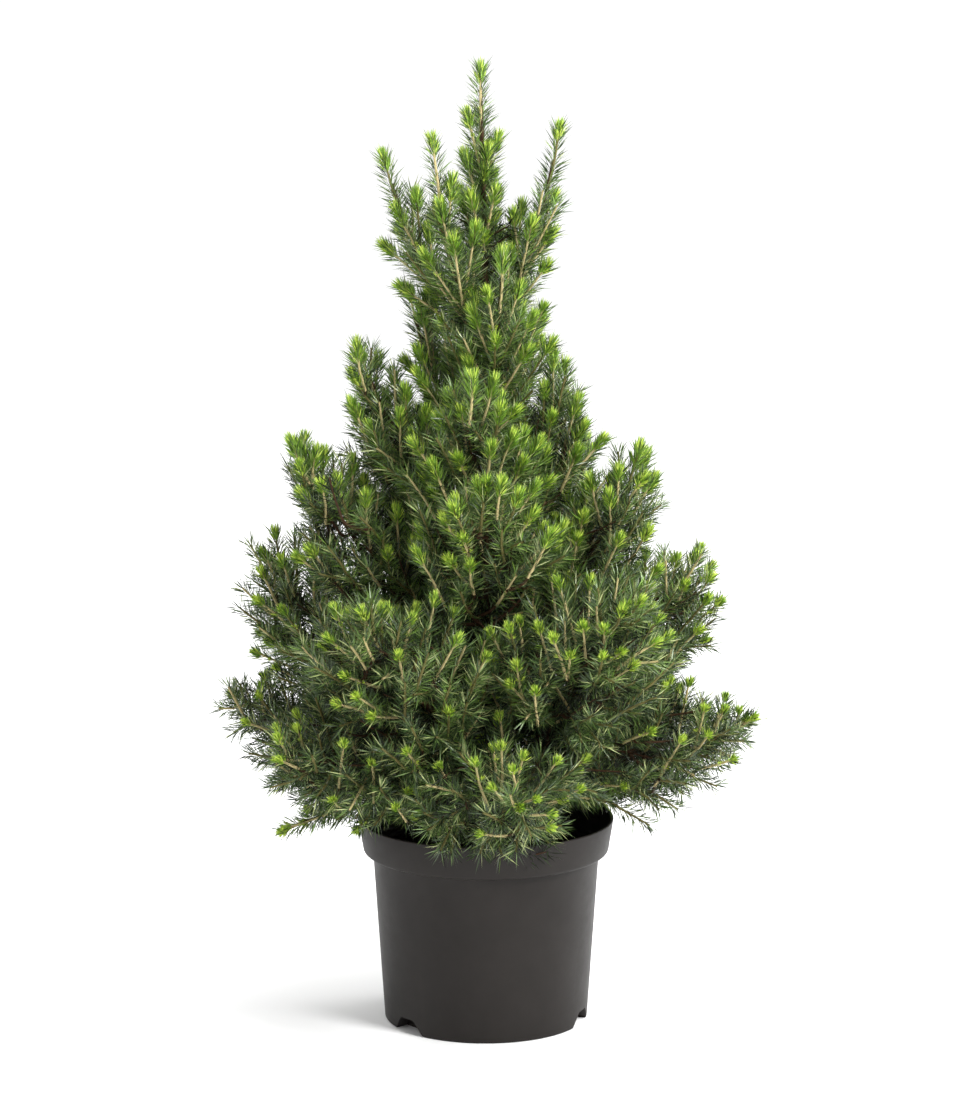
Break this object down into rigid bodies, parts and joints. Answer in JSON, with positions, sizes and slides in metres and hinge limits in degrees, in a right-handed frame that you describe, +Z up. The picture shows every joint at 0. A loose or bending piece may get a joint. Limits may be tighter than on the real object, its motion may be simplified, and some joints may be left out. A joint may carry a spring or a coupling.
{
  "type": "potted dwarf alberta spruce",
  "caption": "Small conical evergreen with dense ascending boughs on one straight trunk, growing in a round tapered plastic nursery pot with a banded rim.",
  "frame": {"origin": "centre of the pot's flat underside", "axes": "+Z up along the trunk, -Y towards the front of the plant, +X to its right seen from the front"},
  "size_m": [0.4087, 0.3984, 0.727],
  "materials": {
    "pot_plastic": "satin",
    "compost": "matte",
    "bark": "matte",
    "needles": "satin"
  },
  "bodies": {
    "root": {"bough_crest_front": "bark", "bough_crest_left": "bark", "bough_crest_right_back": "bark", "bough_hem_left": "bark", "bough_lower_back": "bark", "bough_lower_front_left": "bark", "bough_lower_front_right": "bark", "bough_lower_left": "bark", "bough_lower_right": "bark", "bough_middle_back_left": "bark", "bough_middle_back_right": "bark", "bough_middle_front": "bark", "bough_middle_left": "bark", "bough_middle_right": "bark", "bough_shoulder_back": "bark", "bough_shoulder_front": "bark", "bough_shoulder_left": "bark", "bough_shoulder_right": "bark", "bough_skirt_back_left": "bark", "bough_skirt_back_right": "bark", "bough_skirt_front": "bark", "bough_skirt_front_left": "bark", "bough_skirt_left": "bark", "bough_skirt_right": "bark", "bough_spire_back": "bark", "bough_spire_front_left": "bark", "bough_spire_left": "bark", "bough_spire_right": "bark", "foliage_crest_front": "needles", "foliage_crest_left": "needles", "foliage_crest_right_back": "needles", "foliage_hem_left": "needles", "foliage_leader_plume": "needles", "foliage_lower_back": "needles", "foliage_lower_front_left": "needles", "foliage_lower_front_right": "needles", "foliage_lower_left": "needles", "foliage_lower_right": "needles", "foliage_middle_back_left": "needles", "foliage_middle_back_right": "needles", "foliage_middle_front": "needles", "foliage_middle_left": "needles", "foliage_middle_right": "needles", "foliage_shoulder_back": "needles", "foliage_shoulder_front": "needles", "foliage_shoulder_left": "needles", "foliage_shoulder_right": "needles", "foliage_skirt_back_left": "needles", "foliage_skirt_back_right": "needles", "foliage_skirt_front": "needles", "foliage_skirt_front_left": "needles", "foliage_skirt_left": "needles", "foliage_skirt_right": "needles", "foliage_spire_back": "needles", "foliage_spire_front_left": "needles", "foliage_spire_left": "needles", "foliage_spire_right": "needles", "pot": "pot_plastic", "soil": "compost", "trunk": "bark"}
  },
  "joints": []
}
